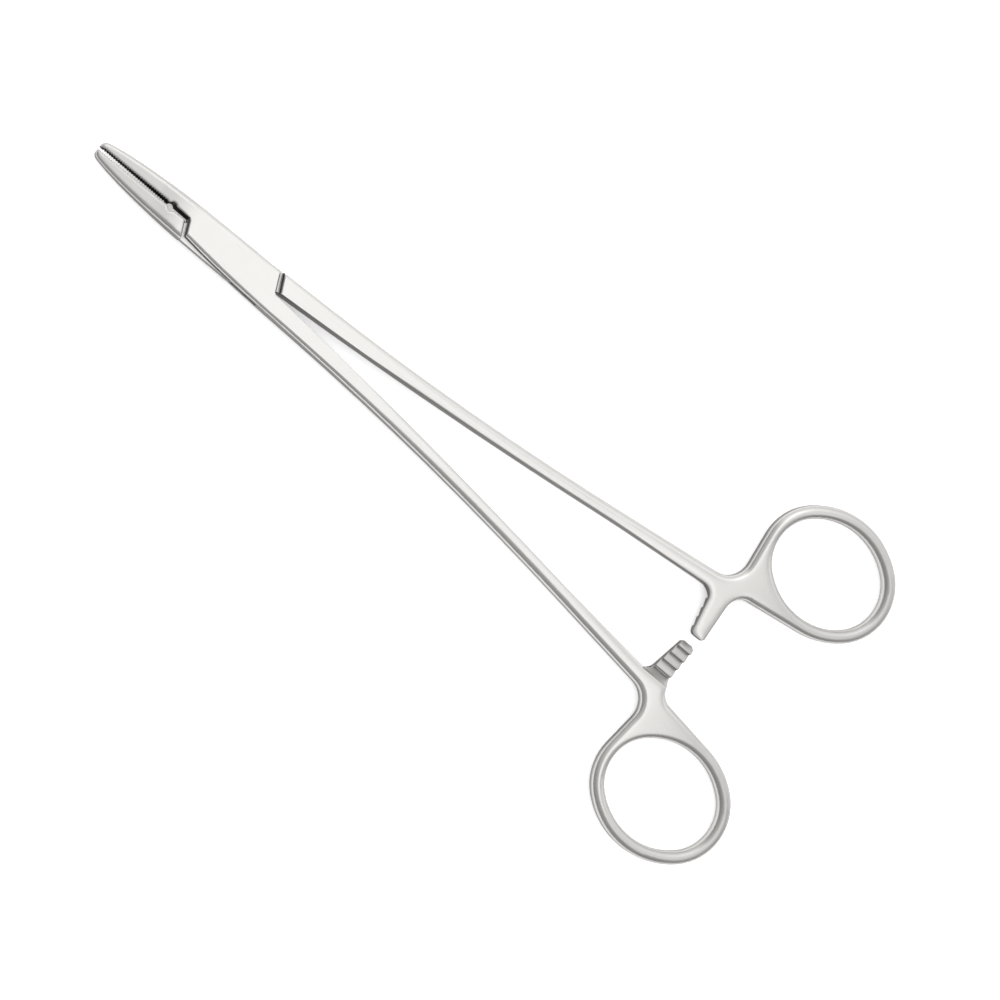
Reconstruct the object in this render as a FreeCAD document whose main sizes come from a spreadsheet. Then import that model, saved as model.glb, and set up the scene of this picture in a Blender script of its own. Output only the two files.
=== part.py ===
"""Surgical needle holder with a box lock, serrated jaws, ring handles and a ratchet.

Three pieces: the box half, whose slotted lock holds the tongue of the through half, and the rivet
that both turn on. Both halves start as the same forging, which is a mirror image of itself across
the closing line, and each is then machined for its own side of the lock and of the ratchet.

Frame: origin on the pivot axis at the underside of the lock, +X to the jaw tips, +Z up, +Y to the
side of the through half's jaw. Each half is drawn closed, about the middle of its own thickness,
with its jaw on +Y and its ring on -Y, and is then lifted and opened by its Placement.
"""
import FreeCAD, Part
import math
import os

from FreeCAD import Placement, Rotation, Vector

SIZES = [
    # Alias, size in millimetres or degrees, what it is
    ("lock_thickness", 6.0, "thickness over both cheeks of the lock"),
    ("lock_flat", 13.0, "how far the flat of the lock runs each way from the pivot"),
    ("tongue_thickness", 2.2, "thickness of the tongue in the lock"),
    ("tongue_clearance", 0.05, "gap between the tongue and each cheek"),
    ("cheek_reach", 11.8, "pivot to the end of a cheek, along the closing line"),
    ("cheek_slant", 26.0, "angle of the ends of the cheeks from square"),
    ("shoulder_gap", 0.9, "gap between the end of a cheek and the shoulder it faces"),
    ("slot_reach", 12.2, "pivot to the end wall of the slot, along the closing line"),
    ("slot_slant", 23.0, "angle of the end walls of the slot from square"),
    ("tongue_waist", 2.5, "where the flank of the tongue leaves the outline of the lock"),
    ("tongue_step", 0.2, "how far the end of the tongue stands beyond the closing line"),
    ("edge_bevel", 0.25, "bevel on the ends of the cheeks and on the shoulders"),
    ("pin_diameter", 4.0, "rivet shank"),
    ("pin_head", 5.0, "rivet at the surface of a cheek"),
    ("pin_sink", 0.5, "depth of the flare of the rivet"),
    ("pin_fit", 0.01, "radial gap between the rivet and the cheeks"),
    ("pin_play", 0.05, "radial gap between the rivet and the tongue"),
    ("opening", 1.4, "angle between the halves as they lie"),
    ("jaw_length", 35.6, "pivot to the tips"),
    ("tip_thickness", 2.9, "thickness of a jaw at its tip"),
    ("jaw_mid_thickness", 5.0, "thickness of a jaw where it begins to taper evenly"),
    ("jaw_mid", 20.5, "pivot to that place"),
    ("tip_width", 1.65, "width of a jaw behind the rounding of its tip"),
    ("tip_flat", 0.5, "flat end of the tip"),
    ("tip_round", 1.2, "length of the rounding at the tip"),
    ("tip_taper", 13.5, "angle of the outer side of a jaw behind its tip"),
    ("jaw_fore_pull", 8.8, "how far the outer side of a jaw holds its direction from the tip"),
    ("jaw_rear_pull", 17.6, "how far it holds its direction from the lock"),
    ("heel_reach", 17.3, "pivot to the heel of the grip face"),
    ("heel_relief", 0.2, "how far the grip face stands back at its heel"),
    ("root_recess", 0.4, "how far the plain root of a jaw stands back"),
    ("notch_radius", 0.85, "relief notch behind the grip face"),
    ("notch_reach", 16.4, "pivot to the relief notch"),
    ("serration_pitch", 0.6, "spacing of the serrations"),
    ("serration_depth", 0.24, "depth of the serrations"),
    ("serration_land", 0.05, "height taken off the crests of the serrations"),
    ("serration_end", 0.5, "plain grip face left at the tip"),
    ("lock_jaw_width", 4.35, "closing line to the rear corner of the lock on the jaw's side"),
    ("cheek_width", 3.1, "closing line to the free corner of a cheek"),
    ("cheek_taper", 6.0, "angle of the side of a cheek at its free corner"),
    ("cheek_pull", 8.0, "how far the side of the lock holds its direction at each end"),
    ("shank_recess", 0.3, "closing line to the inner side of the shank where it leaves the lock"),
    ("lock_shank_width", 4.42, "closing line to the outer side of the shank at the end of the lock"),
    ("root_splay", 1.1, "angle of the outer side of the shank there"),
    ("root_pull", 20.0, "how far the outer side holds that direction"),
    ("root_inner_splay", 2.9, "angle of the inner side of the shank at the lock"),
    ("root_inner_pull", 52.5, "how far the inner side holds that direction"),
    ("shank_aft", 104.0, "pivot to the aft station, behind which a shank is straight"),
    ("aft_inner", 7.95, "closing line to its inner side there"),
    ("aft_width", 3.0, "width of the shank there"),
    ("inner_splay", 5.15, "angle of the straight inner side to the closing line"),
    ("inner_pull", 9.2, "how far the inner side holds that direction ahead of the aft station"),
    ("outer_splay", 7.0, "angle of the straight outer side to the closing line"),
    ("outer_pull", 46.4, "how far the outer side holds that direction ahead of the aft station"),
    ("bow_thickness", 3.7, "thickness of the ring and of the shank beside it"),
    ("bow_pull", 45.5, "how far the shank stays near that thickness ahead of the aft station"),
    ("lock_pull", 9.1, "how far the shank stays near the lock's thickness"),
    ("ring_reach", 147.6, "pivot to the centre of a ring along the closing line"),
    ("ring_offset", 28.95, "closing line to the centre of a ring"),
    ("ring_length", 28.1, "finger hole along the closing line"),
    ("ring_width", 22.9, "finger hole across it"),
    ("ring_end_radius", 9.9, "radius of the finger hole at its ends"),
    ("ring_wire", 3.0, "width of the ring's rim"),
    ("neck_ahead", 15.55, "ring's centre to the outer corner between shank and ring"),
    ("neck_radius", 5.5, "radius of that corner"),
    ("arm_ahead", 17.6, "ring's centre to the front edge of a ratchet arm at its end"),
    ("arm_width", 3.4, "width of the arm at its end"),
    ("arm_flare", 1.6, "how much wider the arm is at its root, on its front edge"),
    ("arm_rear_flare", 0.4, "the same on its rear edge"),
    ("arm_rear_length", 13.0, "end of the arm to its corner with the ring"),
    ("arm_overrun", 0.65, "how far an arm passes the closing line when closed"),
    ("arm_front_radius", 3.0, "corner between shank and arm"),
    ("arm_rear_radius", 4.3, "corner between arm and ring"),
    ("arm_end_bevel", 0.6, "corners of the end of the arm"),
    ("tooth_pitch", 2.2, "spacing of the ratchet teeth"),
    ("tooth_count", 4, "number of ratchet teeth"),
    ("tooth_first", 1.9, "end of the arm to the first steep flank"),
    ("tooth_land", 0.4, "flat crest of a tooth"),
    ("tooth_flank", 0.12, "lean of a steep flank"),
    ("tooth_height", 0.8, "height of a tooth"),
    ("tooth_mesh", 0.6, "how far the crests of the two arms overlap in height"),
    ("tooth_gullet", 0.25, "flat between the last tooth and the slope beside it"),
    ("tooth_slope", 2.3, "length of the slope from the teeth up to the face of the neck"),
    ("teeth_ahead", 4.0, "front of the cut for the teeth from the front edge of the arm"),
    ("teeth_behind", 3.6, "rear of that cut from the rear edge of the arm"),
    ("jaw_round", 0.95, "rounding of the outer edges of a jaw"),
    ("tip_edge_round", 0.6, "rounding of the edges at the tip"),
    ("lock_round", 0.75, "rounding of the sides of the lock"),
    ("shank_round", 1.3, "rounding of the outer edges of shank and ring"),
    ("arm_round", 0.35, "rounding of the rear edges of the arm"),
]

doc = FreeCAD.newDocument("NeedleHolder")
sheet = doc.addObject("Spreadsheet::Sheet", "Sizes")
for row, (alias, size, meaning) in enumerate(SIZES, start=1):
    sheet.set("A%d" % row, meaning)
    sheet.set("B%d" % row, str(size))
    sheet.setAlias("B%d" % row, alias)
doc.recompute()


class Values:
    """The sheet's sizes under their own names, as plain numbers."""

    def __getattr__(self, alias):
        return float(sheet.get(alias))


size = Values()


def direction(angle):
    """Unit vector in the plane at this many degrees from +X."""
    return Vector(math.cos(math.radians(angle)), math.sin(math.radians(angle)), 0)


def crossing(point, along, other, other_along):
    """Where two lines in the plane cross."""
    determinant = along.x * other_along.y - along.y * other_along.x
    reach = ((other.x - point.x) * other_along.y - (other.y - point.y) * other_along.x) / determinant
    return point + along * reach


def corner_arc(corner, back, ahead, radius):
    """Arc of this radius that rounds a corner, given unit vectors along both of its sides."""
    half = back.getAngle(ahead) / 2
    bisector = (back + ahead).normalize()
    centre = corner + bisector * (radius / math.sin(half))
    start = corner + back * (radius / math.tan(half))
    end = corner + ahead * (radius / math.tan(half))
    return start, centre - bisector * radius, end


def bend(start, start_pull, end, end_pull):
    """Cubic curve between two points that leaves along one pull and arrives along the other."""
    curve = Part.BezierCurve()
    curve.setPoles([start, start + start_pull, end - end_pull, end])
    return curve.toBSpline()


def touch(centre, radius, point, turn):
    """Where the tangent from an outside point touches a circle, and its bearing from the centre.

    It lies acos(radius / distance) to one side of the line from the centre to the point.
    """
    apart = point - centre
    bearing = math.atan2(apart.y, apart.x) + turn * math.acos(radius / apart.Length)
    return centre + Vector(math.cos(bearing), math.sin(bearing), 0) * radius, bearing


def arc(centre, radius, start, end):
    """Arc of a circle between two bearings."""
    return Part.ArcOfCircle(Part.Circle(centre, Vector(0, 0, 1), radius), start, end)


def oval(grow):
    """Centre and radius of each arc of the finger hole, this much larger all round, and the joint.

    Four arcs touch each other. With half sizes L and S and end arcs of radius E, the side arcs
    have radius (L^2 + S^2 - 2 L E) / (2 (S - E)). The joint is the bearing where they meet.
    """
    centre = Vector(-size.ring_reach, -size.ring_offset, 0)
    half_long = size.ring_length / 2
    half_short = size.ring_width / 2
    end = size.ring_end_radius
    side = (half_long ** 2 + half_short ** 2 - 2 * half_long * end) / (2 * (half_short - end))
    along = Vector(half_long - end, 0, 0)
    up = Vector(0, half_short - side, 0)
    joint = math.atan2(side - half_short, half_long - end)
    return {
        "front": (centre + along, end + grow),
        "top": (centre + up, side + grow),
        "rear": (centre - along, end + grow),
        "bottom": (centre - up, side + grow),
    }, joint


# Plan of the forging, closed, jaw on +Y and ring on -Y

slant = math.tan(math.radians(size.cheek_slant))
# Pull, as a share of the radius, with which a cubic curve follows a quarter of a circle
quarter = 4 * (math.sqrt(2) - 1) / 3


def plan_curves():
    """Closed outline of the forging as named curves, in order, starting at the inner tip corner."""
    curves = []
    tip_inner = Vector(size.jaw_length, 0, 0)
    tip_start = Vector(size.jaw_length, size.tip_flat, 0)
    tip_end = Vector(size.jaw_length - size.tip_round, size.tip_width, 0)
    jaw_way = direction(180 - size.tip_taper)
    curves.append(("tip", Part.LineSegment(tip_inner, tip_start)))
    tip_pull = Vector(0, quarter * (tip_end.y - tip_start.y), 0)
    curves.append(("tip", bend(tip_start, tip_pull, tip_end, jaw_way * (quarter * size.tip_round))))

    rear_corner = Vector(-(size.cheek_reach - slant * size.lock_jaw_width), size.lock_jaw_width, 0)
    rear_pull = Vector(-size.jaw_rear_pull, 0, 0)
    curves.append(("jaw", bend(tip_end, jaw_way * size.jaw_fore_pull, rear_corner, rear_pull)))

    inner_start = Vector(-(size.cheek_reach + slant * size.shank_recess), -size.shank_recess, 0)
    curves.append(("cheek_rear", Part.LineSegment(rear_corner, inner_start)))

    inner_way = direction(180 + size.inner_splay)
    outer_way = direction(180 + size.outer_splay)
    inner_end = Vector(-size.shank_aft, -size.aft_inner, 0)
    root_pull = direction(180 + size.root_inner_splay) * size.root_inner_pull
    curves.append(("inner", bend(inner_start, root_pull, inner_end, inner_way * size.inner_pull)))

    arm_end = size.arm_overrun
    arm_front = size.arm_ahead - size.ring_reach
    front_top = Vector(arm_front, arm_end, 0)
    front_way = Vector(size.arm_flare, -(arm_end + size.aft_inner), 0).normalize()
    rear_top = Vector(arm_front - size.arm_width, arm_end, 0)
    rear_way = Vector(size.arm_rear_flare, -(arm_end + size.aft_inner), 0).normalize()

    arm_corner = crossing(inner_end, inner_way, front_top, front_way)
    flare = corner_arc(arm_corner, inner_way * -1, front_way * -1, size.arm_front_radius)
    curves.append(("inner", Part.LineSegment(inner_end, flare[0])))
    curves.append(("inner", Part.Arc(*flare)))

    end_way = Vector(-1, 0, 0)
    end_front = corner_arc(front_top, front_way, end_way, size.arm_end_bevel)
    end_rear = corner_arc(rear_top, end_way * -1, rear_way, size.arm_end_bevel)
    curves.append(("inner", Part.LineSegment(flare[2], end_front[0])))
    curves.append(("inner", Part.LineSegment(end_front[0], end_front[2])))
    curves.append(("inner", Part.LineSegment(end_front[2], end_rear[0])))
    curves.append(("inner", Part.LineSegment(end_rear[0], end_rear[2])))

    rim, joint = oval(size.ring_wire)
    rear_root = rear_top + rear_way * size.arm_rear_length
    top_touch, top_bearing = touch(*rim["top"], rear_root, 1)
    top_way = (top_touch - rear_root).normalize()
    rear_flare = corner_arc(rear_root, rear_way * -1, top_way, size.arm_rear_radius)
    curves.append(("arm", Part.LineSegment(end_rear[2], rear_flare[0])))
    curves.append(("turn", Part.Arc(*rear_flare)))
    curves.append(("outer", Part.LineSegment(rear_flare[2], top_touch)))

    outer_end = Vector(-size.shank_aft, -(size.aft_inner + size.aft_width), 0)
    neck_x = size.neck_ahead - size.ring_reach
    neck_corner = outer_end + outer_way * ((neck_x - outer_end.x) / outer_way.x)
    side_touch, side_bearing = touch(*rim["front"], neck_corner, -1)
    side_way = (side_touch - neck_corner).normalize()
    neck = corner_arc(neck_corner, side_way, outer_way * -1, size.neck_radius)
    curves.append(("outer", arc(*rim["top"], top_bearing, math.pi - joint)))
    curves.append(("outer", arc(*rim["rear"], math.pi - joint, math.pi + joint)))
    curves.append(("outer", arc(*rim["bottom"], math.pi + joint, 2 * math.pi - joint)))
    curves.append(("outer", arc(*rim["front"], -joint, side_bearing)))
    curves.append(("outer", Part.LineSegment(side_touch, neck[0])))
    curves.append(("outer", Part.Arc(*neck)))
    curves.append(("outer", Part.LineSegment(neck[2], outer_end)))

    front_corner = Vector(size.cheek_reach - slant * size.cheek_width, -size.cheek_width, 0)
    shank_root = Vector(-size.lock_flat, -size.lock_shank_width, 0)
    root_way = direction(size.root_splay)
    outer_pull = outer_way * -size.outer_pull
    curves.append(("shank", bend(outer_end, outer_pull, shank_root, root_way * size.root_pull)))
    cheek_pull = direction(size.cheek_taper) * size.cheek_pull
    curves.append(("cheek", bend(shank_root, root_way * size.cheek_pull, front_corner, cheek_pull)))

    root_inner = Vector(size.cheek_reach + slant * size.root_recess, size.root_recess, 0)
    notch_edge = Vector(size.notch_reach, size.root_recess, 0)
    heel = Vector(size.heel_reach, size.heel_relief, 0)
    curves.append(("cheek_front", Part.LineSegment(front_corner, root_inner)))
    curves.append(("face", Part.LineSegment(root_inner, notch_edge)))
    curves.append(("face", Part.LineSegment(notch_edge, heel)))
    curves.append(("face", Part.LineSegment(heel, tip_inner)))
    return curves


# Side elevation of the forging, half above and half below its middle plane

def elevation_curves():
    """Upper edge of the side elevation, from beyond the ring to beyond the tips, as curves."""
    lock = size.lock_thickness / 2
    bow = size.bow_thickness / 2
    level = Vector(1, 0, 0)
    beyond_ring = Vector(-(size.ring_reach + size.ring_length), bow, 0)
    aft = Vector(-size.shank_aft, bow, 0)
    rear_flat = Vector(-size.lock_flat, lock, 0)
    front_flat = Vector(size.lock_flat, lock, 0)
    jaw_fall = (size.jaw_mid_thickness - size.tip_thickness) / 2 / (size.jaw_length - size.jaw_mid)
    jaw_way = Vector(1, -jaw_fall, 0)
    jaw_middle = Vector(size.jaw_mid, size.jaw_mid_thickness / 2, 0)
    beyond_tip = Vector(size.jaw_length, size.tip_thickness / 2, 0) + jaw_way
    run = (size.jaw_mid - size.lock_flat) / 3
    return [
        Part.LineSegment(beyond_ring, aft),
        bend(aft, level * size.bow_pull, rear_flat, level * size.lock_pull),
        Part.LineSegment(rear_flat, front_flat),
        bend(front_flat, level * run, jaw_middle, jaw_way * run),
        Part.LineSegment(jaw_middle, beyond_tip),
    ]


def sketch_on(body, plane, curves, name):
    """Sketch of these curves on one of the body's origin planes."""
    sketch = body.newObject("Sketcher::SketchObject", name)
    support = [feature for feature in body.Origin.OriginFeatures if feature.Role == plane][0]
    sketch.AttachmentSupport = [(support, "")]
    sketch.MapMode = "FlatFace"
    for curve in curves:
        sketch.addGeometry(curve, False)
    return sketch


def closed(points):
    """Straight sides of a polygon."""
    return [Part.LineSegment(a, b) for a, b in zip(points, points[1:] + points[:1])]


body = doc.addObject("PartDesign::Body", "Forging")
outline = plan_curves()
hole, joint = oval(0)
finger_hole = [
    arc(*hole["front"], -joint, joint),
    arc(*hole["top"], joint, math.pi - joint),
    arc(*hole["rear"], math.pi - joint, math.pi + joint),
    arc(*hole["bottom"], math.pi + joint, 2 * math.pi - joint),
]
plan = sketch_on(body, "XY_Plane", [curve for name, curve in outline] + finger_hole, "Plan")
blank = body.newObject("PartDesign::Pad", "Blank")
blank.Profile = plan
blank.SideType = "Symmetric"
blank.setExpression("Length", "Sizes.lock_thickness")

# The forging thins towards its tip and towards its ring: what lies outside the elevation goes.
high = size.lock_thickness
waste = elevation_curves()
first = waste[0].StartPoint
last = waste[-1].EndPoint
waste += [
    Part.LineSegment(last, Vector(last.x, high, 0)),
    Part.LineSegment(Vector(last.x, high, 0), Vector(first.x, high, 0)),
    Part.LineSegment(Vector(first.x, high, 0), first),
]
upside_down = Rotation(Vector(1, 0, 0), 180)
waste_below = [curve.copy() for curve in waste]
for curve in waste_below:
    curve.transform(Placement(Vector(0, 0, 0), upside_down).toMatrix())
thinned = body.newObject("PartDesign::Pocket", "Thinned")
thinned.Profile = sketch_on(body, "XZ_Plane", waste + waste_below, "Elevation")
thinned.SideType = "Two sides"
thinned.Type = "ThroughAll"
thinned.Type2 = "ThroughAll"
doc.recompute()


# Rounded edges of the forging: full along the outside, ring and finger hole, slight at the rear
# of the arm, and none along the inside of the shank or where the lock is machined

turn = [curve for name, curve in outline if name == "turn"][0]
turn_ends = sorted([turn.StartPoint.x, turn.EndPoint.x])
rounded_parts = [(name, curve.toShape()) for name, curve in outline
                 if name in ("tip", "jaw", "cheek", "shank", "turn", "arm", "outer")]
rounded_parts += [("outer", curve.toShape()) for curve in finger_hole]


def between(place, start, end, start_size, end_size):
    """Size at a place, changing evenly along a stretch and constant beyond it."""
    share = min(max((place - start) / (end - start), 0), 1)
    return start_size + (end_size - start_size) * share


def rounding(name, point):
    """Radius of the edge at a point of this part of the outline."""
    if name == "tip":
        return size.tip_edge_round
    if name == "jaw" and point.x > size.lock_flat:
        tip_end = size.jaw_length - size.tip_round
        return between(point.x, size.lock_flat, tip_end, size.jaw_round, size.tip_edge_round)
    if name == "jaw":
        return between(point.x, -size.lock_flat, size.lock_flat, size.lock_round, size.jaw_round)
    if name == "cheek":
        return size.lock_round
    if name == "shank":
        return between(point.x, -size.shank_aft, -size.lock_flat, size.shank_round, size.lock_round)
    if name == "turn":
        return between(point.x, turn_ends[0], turn_ends[1], size.shank_round, size.arm_round)
    if name == "arm":
        return size.arm_round
    return size.shank_round


# Distance within which two places count as one
same_place = 1e-3


def outline_part(edge):
    """Name of the rounded part of the outline that a top or bottom edge follows, if any."""
    middle = edge.valueAt((edge.FirstParameter + edge.LastParameter) / 2)
    if abs(middle.z) < size.tip_thickness / 4:
        return None
    spot = Part.Vertex(Vector(middle.x, middle.y, 0))
    for name, part in rounded_parts:
        if spot.distToShape(part)[0] < same_place:
            return name
    return None


def followed(waiting, end, ahead):
    """Run of waiting edges that goes on from this end, with the radii in the run's own sense."""
    found = []
    while True:
        touching = [index for index, (name, ends) in waiting.items()
                    if min(ends[0].distanceToPoint(end), ends[1].distanceToPoint(end)) < same_place]
        if not touching:
            return found
        name, ends = waiting.pop(touching[0])
        near, far = sorted(ends, key=end.distanceToPoint)
        radii = [rounding(name, near), rounding(name, far)]
        found.append((touching[0], *(radii if ahead else radii[::-1])))
        end = far


def rounded_edges(shape):
    """Edges to round, each with its radius where its run enters it and where the run leaves it.

    A run of touching edges takes its sense from the first of them, and goes on both ways from it.
    """
    waiting = {}
    for index, edge in enumerate(shape.Edges, start=1):
        name = outline_part(edge)
        if name:
            ends = [edge.valueAt(edge.FirstParameter), edge.valueAt(edge.LastParameter)]
            waiting[index] = (name, ends)
    rounded = []
    while waiting:
        index = min(waiting)
        name, (start, end) = waiting.pop(index)
        rounded.append((index, rounding(name, start), rounding(name, end)))
        rounded += followed(waiting, end, True)
        rounded += followed(waiting, start, False)
    return rounded


forging = doc.addObject("Part::Fillet", "RoundedForging")
forging.Base = body
forging.Edges = rounded_edges(body.Shape)

mirrored = doc.addObject("Part::Mirroring", "MirroredForging")
mirrored.Source = forging
mirrored.Normal = Vector(0, 1, 0)
doc.recompute()


# Cutters, each a prism on a polygon that stands square to the polygon's plane

flat = Rotation()
upright = Rotation(Vector(1, 0, 0), 90)
across = Rotation(Vector(1, 1, 1), 120)


def cutter(name, points, turned, ahead, back):
    """Prism on a polygon, its length each way from the polygon's plane given by the sheet."""
    sketch = doc.addObject("Sketcher::SketchObject", name + "Outline")
    for side in closed(points):
        sketch.addGeometry(side, False)
    sketch.Placement = Placement(Vector(0, 0, 0), turned)
    prism = doc.addObject("Part::Extrusion", name)
    prism.Base = sketch
    prism.DirMode = "Normal"
    prism.Solid = True
    prism.setExpression("LengthFwd", ahead)
    prism.setExpression("LengthRev", back)
    return prism


def drill(name, reach, radius):
    """Hole through the lock's thickness on the closing line."""
    hole = doc.addObject("Part::Cylinder", name)
    hole.setExpression("Radius", radius)
    hole.setExpression("Height", "2 * Sizes.lock_thickness")
    hole.setExpression("Placement.Base.x", reach)
    hole.setExpression("Placement.Base.z", "-Sizes.lock_thickness")
    return hole


def comb(side, shift):
    """Grooves across a grip face on this side of the closing line, from heel to tip.

    Their crests stand a little outside the face, so that a narrow land is left between grooves.
    """
    heel = Vector(size.heel_reach, size.heel_relief, 0)
    along = Vector(size.jaw_length, 0, 0) - heel
    reach = along.Length - size.serration_end
    along.normalize()
    inward = Vector(-along.y, along.x, 0)
    points = []
    place = size.serration_pitch * shift
    while place + size.serration_pitch < reach:
        points.append(heel + along * place - inward * size.serration_land)
        points.append(heel + along * (place + size.serration_pitch / 2) + inward * size.serration_depth)
        place += size.serration_pitch
    points.append(heel + along * place - inward * size.serration_land)
    points.append(Vector(points[-1].x, -size.tip_width, 0))
    points.append(Vector(points[0].x, -size.tip_width, 0))
    return [Vector(point.x, point.y * side, 0) for point in points]


def ratchet():
    """Void above the ratchet of the box half: distance from the closing line, then height."""
    crest = size.tooth_mesh / 2
    valley = crest - size.tooth_height
    end = -size.arm_overrun
    outside = end - size.tooth_pitch
    points = [Vector(outside, high, 0), Vector(outside, valley, 0), Vector(end, valley, 0)]
    flank = end + size.tooth_first
    for tooth in range(int(size.tooth_count)):
        points.append(Vector(flank - size.tooth_flank - size.tooth_land, crest, 0))
        points.append(Vector(flank - size.tooth_flank, crest, 0))
        points.append(Vector(flank, valley, 0))
        flank += size.tooth_pitch
    foot = flank - size.tooth_pitch + size.tooth_gullet
    run = size.tooth_slope / (size.bow_thickness / 2 - valley)
    points.append(Vector(foot, valley, 0))
    points.append(Vector(foot + run * (high - valley), high, 0))
    return points


def machined(name, base, cutters):
    """A forging less its cutters."""
    tools = doc.addObject("Part::MultiFuse", name + "Tools")
    tools.Shapes = cutters
    cut = doc.addObject("Part::Cut", name)
    cut.Base = base
    cut.Tool = tools
    return cut


def bevels(name, reach, pivot_side):
    """Wedges that bevel the slanted edges this far from the pivot, on both faces of the lock.

    The bevel lies on the pivot's side of its edge (1) or beyond it (-1), and stops at the closing
    line, where the inner side of a jaw or shank begins.
    """
    away = reach * math.cos(math.radians(size.cheek_slant))
    inner = away - 2 * size.edge_bevel * pivot_side
    outer = away + size.edge_bevel * pivot_side
    top = size.lock_thickness / 2
    wedges = []
    for end, bearing in (("Front", 0), ("Rear", 180)):
        turned = Rotation(Vector(0, 0, 1), size.cheek_slant + bearing) * upright
        for face, level in (("Top", 1), ("Bottom", -1)):
            points = [
                Vector(inner, (top + size.edge_bevel) * level, 0),
                Vector(outer, (top - 2 * size.edge_bevel) * level, 0),
                Vector(outer, (top + size.edge_bevel) * level, 0),
            ]
            to_line = "Sizes.cheek_reach * sin(Sizes.cheek_slant * 1 deg)"
            wedges.append(cutter(name + end + face, points, turned, to_line, "Sizes.lock_jaw_width"))
    return wedges


def rivet_profile(gap):
    """Half section of the rivet, flared at both faces, this much larger all round."""
    shank = size.pin_diameter / 2 + gap
    head = size.pin_head / 2 + gap
    top = size.lock_thickness / 2
    neck = top - size.pin_sink
    return [Vector(0, -top, 0), Vector(head, -top, 0), Vector(shank, -neck, 0),
            Vector(shank, neck, 0), Vector(head, top, 0), Vector(0, top, 0)]


# Box half: jaw on -Y, a slot through its lock, the rivet's bore, teeth on top of its arm

teeth_front = "Sizes.arm_ahead + Sizes.teeth_ahead - Sizes.ring_reach"
teeth_rear = "Sizes.ring_reach - Sizes.arm_ahead + Sizes.arm_width + Sizes.teeth_behind"
# Distance from the closing line at which a cutter stands clear of the sides of the lock
clear = size.lock_thickness
wall = math.tan(math.radians(size.slot_slant)) * clear
slot = cutter(
    "Slot",
    [Vector(size.slot_reach - wall, -clear, 0), Vector(size.slot_reach + wall, clear, 0),
     Vector(-size.slot_reach + wall, clear, 0), Vector(-size.slot_reach - wall, -clear, 0)],
    flat,
    "Sizes.tongue_thickness / 2 + Sizes.tongue_clearance",
    "Sizes.tongue_thickness / 2 + Sizes.tongue_clearance",
)
bore_section = doc.addObject("Sketcher::SketchObject", "BoreSection")
for side in closed(rivet_profile(size.pin_fit)):
    bore_section.addGeometry(side, False)
bore_section.Placement = Placement(Vector(0, 0, 0), upright)
bore = doc.addObject("Part::Revolution", "Bore")
bore.Source = bore_section
bore.Axis = Vector(0, 0, 1)
bore.Angle = 360
bore.Solid = True
box_half = machined("BoxHalf", mirrored, [
    slot,
    bore,
    drill("BoxNotch", "Sizes.notch_reach", "Sizes.notch_radius"),
    cutter("BoxSerrations", comb(-1, 1), flat, "Sizes.lock_thickness", "Sizes.lock_thickness"),
    cutter("BoxTeeth", ratchet(), across, teeth_front, teeth_rear),
] + bevels("BoxBevel", size.cheek_reach, 1))

# Through half: jaw on +Y, the tongue left between the two cheek recesses, teeth underneath its arm

shoulder = size.cheek_reach + size.shoulder_gap / math.cos(math.radians(size.cheek_slant))
beyond = size.cheek_reach + size.tongue_waist
recess = [
    Vector(shoulder, 0, 0),
    Vector(shoulder - slant * clear, clear, 0),
    Vector(-beyond, clear, 0),
    Vector(-beyond, 0, 0),
    Vector(-shoulder, 0, 0),
    Vector(-shoulder + slant * clear, -clear, 0),
    Vector(beyond, -clear, 0),
    Vector(beyond, 0, 0),
]
tongue_end = Vector(-(size.cheek_reach + size.tongue_step), -size.tongue_step, 0)
flank = [
    Vector(-size.tongue_waist, size.lock_jaw_width, 0),
    Vector(-size.tongue_waist, clear, 0),
    Vector(-beyond, clear, 0),
    Vector(-beyond, tongue_end.y, 0),
    tongue_end,
]
half_tongue = "Sizes.tongue_thickness / 2"
through_half = machined("ThroughHalf", forging, [
    cutter("UpperRecess", recess, flat, "Sizes.lock_thickness", "-Sizes.tongue_thickness / 2"),
    cutter("LowerRecess", recess, flat, "-Sizes.tongue_thickness / 2", "Sizes.lock_thickness"),
    cutter("RearFlank", flank, flat, half_tongue, half_tongue),
    cutter("FrontFlank", [point * -1 for point in flank], flat, half_tongue, half_tongue),
    drill("PinHole", "0", "Sizes.pin_diameter / 2 + Sizes.pin_play"),
    drill("ThroughNotch", "Sizes.notch_reach", "Sizes.notch_radius"),
    cutter("ThroughSerrations", comb(1, 0.5), flat, "Sizes.lock_thickness", "Sizes.lock_thickness"),
    cutter("ThroughTeeth", ratchet(), upside_down * across, teeth_front, teeth_rear),
] + bevels("ThroughBevel", shoulder, -1))


# Rivet, flush with both faces of the lock

pivot_pin = doc.addObject("PartDesign::Body", "Rivet")
turned = pivot_pin.newObject("PartDesign::Revolution", "Turned")
section = sketch_on(pivot_pin, "XZ_Plane", closed(rivet_profile(0)), "Section")
turned.Profile = section
turned.ReferenceAxis = (section, ["V_Axis"])
turned.Angle = 360

# The halves as they lie, each turned half of the opening away from closed

box_half.Label = "box_half"
through_half.Label = "through_half"
pivot_pin.Label = "pivot_pin"
box_half.Placement = Placement(Vector(0, 0, 0), Rotation(Vector(0, 0, -1), 1))
through_half.Placement = Placement(Vector(0, 0, 0), Rotation(Vector(0, 0, 1), 1))
box_half.setExpression("Placement.Rotation.Angle", "Sizes.opening / 2")
through_half.setExpression("Placement.Rotation.Angle", "Sizes.opening / 2")
for piece in (box_half, through_half, pivot_pin):
    piece.setExpression("Placement.Base.z", "Sizes.lock_thickness / 2")
doc.recompute()

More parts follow.
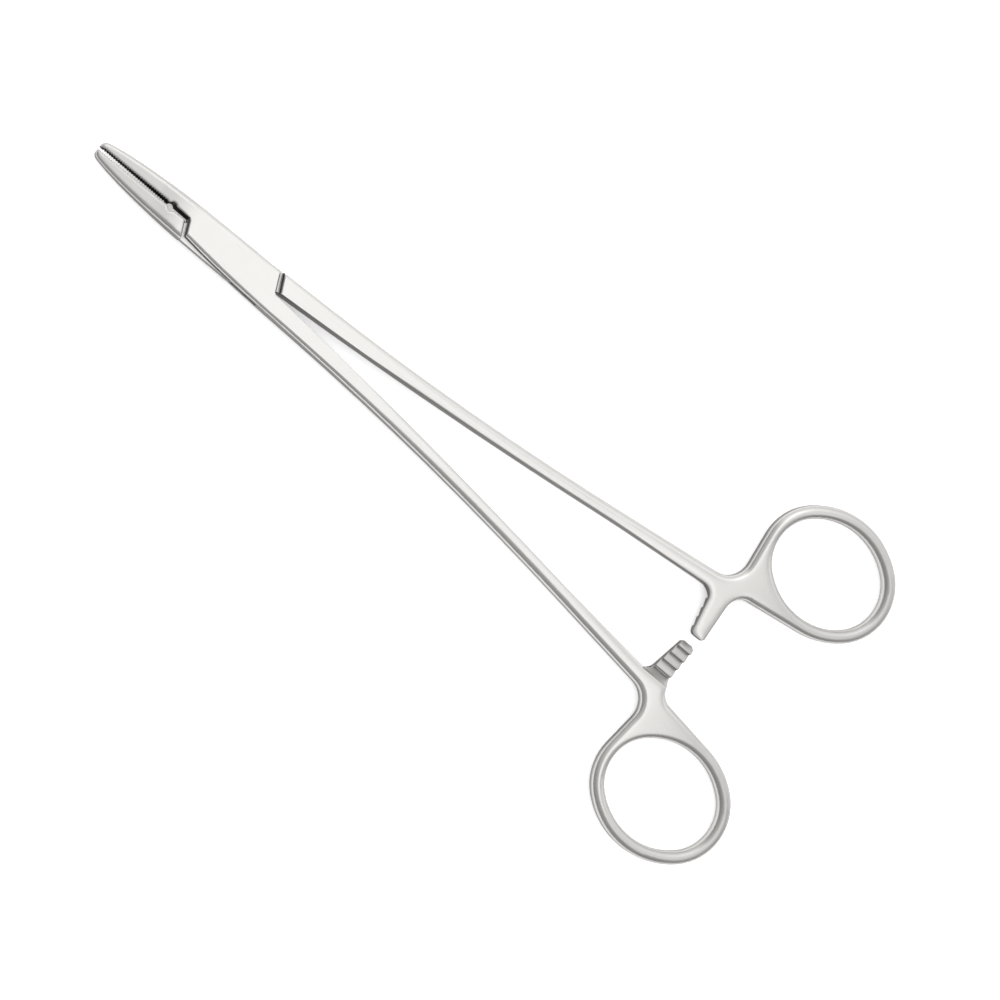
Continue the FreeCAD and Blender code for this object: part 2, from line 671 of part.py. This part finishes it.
pieces = [box_half, through_half, pivot_pin]
for item in doc.Objects:
    if "Invalid" in item.State or "Error" in item.State:
        raise RuntimeError("%s failed" % item.Name)
for piece in pieces:
    if piece.Shape.isNull() or not piece.Shape.isValid():
        raise RuntimeError("%s has no valid shape" % piece.Label)

os.makedirs("parts", exist_ok=True)
for piece in pieces:
    piece.Shape.exportStep("parts/%s.step" % piece.Label)
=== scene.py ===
"""Surgical needle holder lying open on a pale table, under soft studio light."""

import bpy
from mathutils import Matrix, Vector

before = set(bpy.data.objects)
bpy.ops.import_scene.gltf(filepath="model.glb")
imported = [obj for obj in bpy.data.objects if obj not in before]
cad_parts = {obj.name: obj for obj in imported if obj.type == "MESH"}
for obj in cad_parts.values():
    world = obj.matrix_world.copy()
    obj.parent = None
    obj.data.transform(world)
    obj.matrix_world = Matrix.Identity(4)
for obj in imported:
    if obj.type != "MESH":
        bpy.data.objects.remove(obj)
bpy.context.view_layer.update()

# The two halves, forged and milled from stainless steel and then satin finished on a belt, which
# leaves a fine grain along them and a slight crown on necks and rings. Painted shade darkens their
# upright sides, rounded edges and crevices, and paints the slit between the jaws near black.

# The Mix node has its own sockets for each kind of data, which its names don't tell apart
mix_share = 0
mix_vectors = (4, 5)
mixed_vector = 1
mix_colours = (6, 7)
mixed_colour = 2


class Network:
    """Node tree of a material or a world, with the few operations that are used here."""

    def __init__(self, owner):
        owner.use_nodes = True
        self.nodes = owner.node_tree.nodes
        self.links = owner.node_tree.links

    def add(self, kind, **settings):
        """New node with its properties set."""
        node = self.nodes.new(kind)
        for name, setting in settings.items():
            setattr(node, name, setting)
        return node

    def feed(self, socket, value):
        """Link a socket to an output, or give it a value."""
        if isinstance(value, bpy.types.NodeSocket):
            self.links.new(value, socket)
        else:
            socket.default_value = value

    def math(self, operation, *values):
        """Result of an operation on outputs or numbers."""
        node = self.add("ShaderNodeMath", operation=operation)
        for socket, value in zip(node.inputs, values):
            self.feed(socket, value)
        return node.outputs["Value"]

    def product(self, first, *others):
        """Values multiplied together."""
        for other in others:
            first = self.math("MULTIPLY", first, other)
        return first

    def step(self, value, low, high, start, end, shape="LINEAR"):
        """Goes from start to end while a value goes from low to high, and is constant beyond."""
        node = self.add("ShaderNodeMapRange", interpolation_type=shape)
        for socket, setting in zip(node.inputs, (value, low, high, start, end)):
            self.feed(socket, setting)
        return node.outputs["Result"]

    def split(self, vector):
        """The X, Y and Z of a vector."""
        node = self.add("ShaderNodeSeparateXYZ")
        self.links.new(vector, node.inputs["Vector"])
        return node.outputs

    def colours(self, share, first, second, blend="MIX"):
        """Mix of two colours."""
        node = self.add("ShaderNodeMix", data_type="RGBA", blend_type=blend)
        self.feed(node.inputs[mix_share], share)
        self.feed(node.inputs[mix_colours[0]], first)
        self.feed(node.inputs[mix_colours[1]], second)
        return node.outputs[mixed_colour]

    def directions(self, share, first, second):
        """Mix of two directions, one unit long."""
        node = self.add("ShaderNodeMix", data_type="VECTOR")
        self.feed(node.inputs[mix_share], share)
        self.feed(node.inputs[mix_vectors[0]], first)
        self.feed(node.inputs[mix_vectors[1]], second)
        unit = self.add("ShaderNodeVectorMath", operation="NORMALIZE")
        self.feed(unit.inputs["Vector"], node.outputs[mixed_vector])
        return unit.outputs["Vector"]

    def noise(self, vector, scale, detail):
        """Noise between nothing and one."""
        node = self.add("ShaderNodeTexNoise")
        self.feed(node.inputs["Vector"], vector)
        self.feed(node.inputs["Scale"], scale)
        self.feed(node.inputs["Detail"], detail)
        return node.outputs["Fac"]

    def rounded(self, radius, samples):
        """Surface normal that turns towards each edge within a radius of it."""
        node = self.add("ShaderNodeBevel", samples=samples)
        self.feed(node.inputs["Radius"], radius)
        return node.outputs["Normal"]

    def openness(self, reach, samples):
        """One in the open, less where other surfaces lie within a reach."""
        node = self.add("ShaderNodeAmbientOcclusion", samples=samples)
        self.feed(node.inputs["Distance"], reach)
        return node.outputs["AO"]


# Places along X where one finish fades into the next: from cheeks to jaws, from lock to shanks,
# from shanks to the crowned necks, and from necks to rings
jaw_fade = (0.0105, 0.0140)
shank_fade = (-0.035, -0.050)
crown_fade = (-0.100, -0.122)
ring_fade = (-0.132, -0.146)

# Reach of the broken edges, and of the crown that the belt leaves
edge_break = 0.0002
shank_break = 0.0009
jaw_break = 0.0007
crown_reach = 0.0025
crown_share = 0.33
# Around the rivet the lock is ground flush with it, and no edge shows
flush_reach = 0.0032
edge_samples = 8
crown_samples = 16


def worn_normal(steel, spot):
    """Normal that is rounded at every edge, and crowned on neck and ring.

    It mixes the normal over a narrow edge break with that over a wide crown. The crown's share
    fades in along the shank, because lock and shanks are ground flat.
    """
    reach = steel.step(spot["X"], *shank_fade, edge_break, shank_break)
    reach = steel.step(spot["X"], *crown_fade, reach, edge_break)
    reach = steel.step(spot["X"], *jaw_fade, reach, jaw_break)
    squares = [steel.product(spot[axis], spot[axis]) for axis in ("X", "Y")]
    from_rivet = steel.math("SQRT", steel.math("ADD", *squares))
    reach = steel.product(reach, steel.math("GREATER_THAN", from_rivet, flush_reach))
    broken = steel.rounded(reach, edge_samples)
    crowned = steel.rounded(crown_reach, crown_samples)
    share = steel.step(spot["X"], *crown_fade, 0.0, crown_share)
    return steel.directions(share, broken, crowned)


# The grip faces and the roots of the jaws lie ahead of the cheeks and near the closing line, and
# face it by more than this turn
grip_start = 0.0118
grip_strip = 0.0012
grip_turn = 0.5
# Reach of the painted shade in the slit between them, and the openness over which it fades as they
# open
slit_reach = 0.0022
slit_open = (0.48, 0.66)
shelter_samples = 8


def slit_shade_mask(steel, spot, facing):
    """Painted shade: one on grip faces and jaw roots while the slit between them is narrow,
    nothing elsewhere.
    """
    ahead = steel.math("GREATER_THAN", spot["X"], grip_start)
    near = steel.math("LESS_THAN", steel.math("ABSOLUTE", spot["Y"]), grip_strip)
    turned = steel.math("GREATER_THAN", steel.math("ABSOLUTE", facing["Y"]), grip_turn)
    narrow = steel.step(steel.openness(slit_reach, shelter_samples), *slit_open, 1.0, 0.0)
    return steel.product(ahead, near, turned, narrow)


# The ratchet arms, behind their front edge and around the half height of the holder. Their teeth
# lie near the closing line, and the slopes at their roots a little further out
arm_start = -0.1262
arm_height = 0.0017
half_height = 0.003
teeth_strip = 0.0085
root_strip = 0.0115


def ratchet_mask(steel, spot, strip):
    """One on the milled parts and the sides of the arms, over a strip on the closing line."""
    behind = steel.math("LESS_THAN", spot["X"], arm_start)
    near = steel.math("LESS_THAN", steel.math("ABSOLUTE", spot["Y"]), strip)
    height = steel.math("ABSOLUTE", steel.math("SUBTRACT", spot["Z"], half_height))
    within = steel.math("LESS_THAN", height, arm_height)
    return steel.product(behind, near, within)


# Painted shade: tones against that of an open level face
outer_side_shade = 0.62
inner_side_shade = 0.30
# Painted shade over teeth, rings and jaws, for how light falls on them, and none on the sides of
# rings
ring_side_shade = 1.0
ring_shade = 0.86
jaw_shade = 0.90
teeth_shade = 0.92
crevice_shade_tone = 0.5
# Turn of a side away from the closing line, over which its painted shade goes from inner to outer
side_turn = (-0.6, 0.6)
# Heights of the surface normal over which the upper and the lower edges round off, and the painted
# shade of the sides fades out
upper_round = (0.15, 0.75)
lower_round = (-0.98, -0.88)
# Reach of a crevice's painted shade, and the openness over which it ends
crevice_reach = 0.0012
crevice_open = (0.2, 0.85)


def painted_shade(steel, spot, facing):
    """One on open level faces, less on upright sides, under rounded edges and in crevices.

    This is shade painted into the base colour. Sides that face the closing line get a darker
    painted shade than the outer sides, and teeth, rings and jaws are a little darker overall.
    """
    outward = steel.product(facing["Y"], steel.math("SIGN", spot["Y"]))
    side = steel.step(outward, *side_turn, inner_side_shade, outer_side_shade, "SMOOTHSTEP")
    side = steel.step(spot["X"], *ring_fade, side, ring_side_shade)
    upper = steel.step(facing["Z"], *upper_round, side, 1.0)
    lower = steel.step(facing["Z"], *lower_round, 1.0, side)
    tone = steel.math("MAXIMUM", upper, lower)
    teeth = steel.step(ratchet_mask(steel, spot, teeth_strip), 0.0, 1.0, 1.0, teeth_shade)
    ring = steel.step(spot["X"], *ring_fade, 1.0, ring_shade)
    jaw = steel.step(spot["X"], *jaw_fade, 1.0, jaw_shade)
    openness = steel.openness(crevice_reach, shelter_samples)
    crevice_shade = steel.step(openness, *crevice_open, crevice_shade_tone, 1.0)
    crevice_shade = steel.math("MAXIMUM", crevice_shade, ratchet_mask(steel, spot, root_strip))
    return steel.product(tone, teeth, ring, jaw, crevice_shade)


steel_colour = (0.64, 0.63, 0.615)
grazing_tone = (0.4, 0.39, 0.38)
# Painted shade: the near black of the narrow slit between the jaws
slit_shade_colour = (0.04, 0.039, 0.038)
cloud_tone = 0.96
cloud_scale = 180.0
cloud_detail = 3.0
grain_length = 0.022
grain_width = 0.00022
grain_detail = 4.0
grain_bump = 0.04
grain_depth = 0.00001
# Roughness where the grain is glossiest and dullest, what the rings add, and that of milled parts
satin_roughness = (0.19, 0.26)
ring_roughness = 0.11
milled_roughness = 0.5


def satin_steel(name, worn):
    """Satin steel, in which a grain along the piece drives the gloss and a very low bump.

    The grain is noise in Object coordinates, divided by its length along the brushing and by its
    width across it. A second, round noise of a few millimetres clouds the tint.
    """
    material = bpy.data.materials.new(name)
    steel = Network(material)
    shader = steel.nodes["Principled BSDF"]
    shader.inputs["Specular Tint"].default_value = (*grazing_tone, 1)
    place = steel.add("ShaderNodeTexCoord")
    spot = steel.split(place.outputs["Object"])
    facing = steel.split(place.outputs["Normal"])
    # Painted shade: the narrow slit between the jaws is painted near black, matt and not metal
    slit_shade = slit_shade_mask(steel, spot, facing)

    cloud = steel.noise(place.outputs["Object"], cloud_scale, cloud_detail)
    clouded = (*[part * cloud_tone for part in steel_colour], 1)
    tint = steel.colours(cloud, clouded, (*steel_colour, 1))
    # Painted shade multiplied into the tint: darker sides, edges, crevices, teeth, rings and jaws
    tint = steel.colours(1.0, tint, painted_shade(steel, spot, facing), "MULTIPLY")
    steel.feed(shader.inputs["Base Color"], steel.colours(slit_shade, tint, (*slit_shade_colour, 1)))
    steel.feed(shader.inputs["Metallic"], steel.math("SUBTRACT", 1.0, slit_shade))

    stretch = steel.add("ShaderNodeMapping")
    stretch.inputs["Scale"].default_value = (1 / grain_length, 1 / grain_width, 1 / grain_width)
    steel.feed(stretch.inputs["Vector"], place.outputs["Object"])
    grain = steel.noise(stretch.outputs["Vector"], 1.0, grain_detail)
    gloss = steel.step(grain, 0.0, 1.0, *satin_roughness)
    gloss = steel.math("ADD", gloss, steel.step(spot["X"], *ring_fade, 0.0, ring_roughness))
    milled = steel.product(ratchet_mask(steel, spot, root_strip), milled_roughness)
    gloss = steel.math("MAXIMUM", gloss, milled)
    steel.feed(shader.inputs["Roughness"], steel.math("MAXIMUM", gloss, slit_shade))

    relief = steel.add("ShaderNodeBump")
    relief.inputs["Strength"].default_value = grain_bump
    relief.inputs["Distance"].default_value = grain_depth
    steel.feed(relief.inputs["Height"], grain)
    if worn:
        steel.feed(relief.inputs["Normal"], worn_normal(steel, spot))
    steel.feed(shader.inputs["Normal"], relief.outputs["Normal"])
    return material


half_steel = satin_steel("SatinSteel", True)
for half in ("box_half", "through_half"):
    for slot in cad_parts[half].material_slots:
        slot.material = half_steel

# The rivet, turned from the same steel, peened into both faces of the lock and ground flush with
# them, so that no mark of it shows.

rivet_steel = satin_steel("RivetSteel", False)
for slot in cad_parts["pivot_pin"].material_slots:
    slot.material = rivet_steel

# The table, a plain white sheet of matt paper that the holder lies on. It carries a faint glow, so
# that it photographs white and the holder's shadow stays light.

table_half = 3.0
table_drop = -0.0002
paper_white = 0.95
paper_roughness = 0.9
paper_glow = 0.35
sheet = bpy.data.meshes.new("Table")
near_edge = [(-table_half, -table_half, table_drop), (table_half, -table_half, table_drop)]
far_edge = [(table_half, table_half, table_drop), (-table_half, table_half, table_drop)]
sheet.from_pydata(near_edge + far_edge, [], [(0, 1, 2, 3)])
table = bpy.data.objects.new("Table", sheet)
bpy.context.scene.collection.objects.link(table)
white_paper = bpy.data.materials.new("WhitePaper")
paper = Network(white_paper)
matt = paper.nodes["Principled BSDF"]
matt.inputs["Base Color"].default_value = (paper_white, paper_white, paper_white, 1)
matt.inputs["Roughness"].default_value = paper_roughness
matt.inputs["Specular IOR Level"].default_value = 0.0
ray = paper.add("ShaderNodeLightPath").outputs
seen = paper.math("MAXIMUM", ray["Is Camera Ray"], ray["Is Glossy Ray"])
seen = paper.math("MAXIMUM", seen, ray["Is Transmission Ray"])
glow = paper.add("ShaderNodeEmission")
paper.feed(glow.inputs["Strength"], paper.product(seen, paper_glow))
both = paper.add("ShaderNodeAddShader")
paper.feed(both.inputs[0], matt.outputs["BSDF"])
paper.feed(both.inputs[1], glow.outputs["Emission"])
paper.feed(paper.nodes["Material Output"].inputs["Surface"], both.outputs["Shader"])
sheet.materials.append(white_paper)

# The room, grey and darker towards the horizon, with a bright panel in its ceiling that lock and
# shanks mirror and that jaws and rings catch only at its rims. Its walls are darker on the side
# that the near sides of the halves face, and lighter on the other.

room_strength = 1.65
horizon_tone = 0.24
ceiling_tone = 0.45
# A direction's Y where the walls start and end to change, and the tones there
dark_side = (-0.1, 0.5, 1.0, 0.7)
light_side = (-0.5, -0.2, 2.05, 1.0)
# The panel lies across X, slanted towards Y, and fades in and out over these places
panel_tone = 0.53
panel_slant = 1.2
panel_shift = 0.1284
panel_fade_in = (-0.46, -0.29)
panel_fade_out = (-0.03, 0.10)
# A direction's Z over which the panel fades in from below
panel_foot = (0.7, 0.9)
studio = bpy.data.worlds.new("Studio")
bpy.context.scene.world = studio
room = Network(studio)
way = room.split(room.add("ShaderNodeTexCoord").outputs["Generated"])
walls = room.step(way["Z"], 0.0, 1.0, horizon_tone, ceiling_tone)
darker = room.step(way["Y"], *dark_side, "SMOOTHSTEP")
lighter = room.step(way["Y"], *light_side, "SMOOTHSTEP")
walls = room.product(walls, darker, lighter)
across = room.math("ADD", room.product(way["Y"], panel_slant), way["X"])
across = room.math("ADD", across, panel_shift)
fade_in = room.step(across, *panel_fade_in, 0.0, panel_tone, "SMOOTHSTEP")
fade_out = room.step(across, *panel_fade_out, 1.0, 0.0, "SMOOTHSTEP")
foot = room.step(way["Z"], *panel_foot, 0.0, 1.0, "SMOOTHSTEP")
panel = room.product(fade_in, fade_out, foot)
background = room.nodes["Background"]
background.inputs["Strength"].default_value = room_strength
room.feed(background.inputs["Color"], room.math("ADD", walls, panel))

# The soft box over the table, a square lamp that lights the paper and that the steel doesn't show.

soft_box_size = 0.6
soft_box_height = 0.8
soft_box_watts = 3.6
holder_middle = -0.065
lamp = bpy.data.lights.new("SoftBox", "AREA")
lamp.size = soft_box_size
lamp.energy = soft_box_watts
soft_box = bpy.data.objects.new("SoftBox", lamp)
soft_box.location = (holder_middle, 0.0, soft_box_height)
soft_box.visible_glossy = False
bpy.context.scene.collection.objects.link(soft_box)

# The camera stands where the photograph was taken from: 648 mm away, nearly square to the plane of
# the instrument, with the jaws at the upper left and the rings at the lower right.

aim = Vector((-0.07798, 0.00317, 0.003))
distance = 0.648
sensor_width = 36
focal_length = 108
nearest_seen = 0.01
back = Vector((0.1414, 0.0875, 0.6263)).normalized()
rough_top = Vector((0.6225, -0.7819, -0.0313)).normalized()
right = rough_top.cross(back).normalized()
top = back.cross(right)
lens = bpy.data.cameras.new("Camera")
lens.sensor_width = sensor_width
lens.lens = focal_length
lens.clip_start = nearest_seen
viewer = bpy.data.objects.new("Camera", lens)
turn = Matrix((right, top, back)).transposed().to_4x4()
viewer.matrix_world = Matrix.Translation(aim + back * distance) @ turn
bpy.context.scene.collection.objects.link(viewer)
bpy.context.scene.camera = viewer
bpy.context.scene.view_settings.view_transform = "Standard"
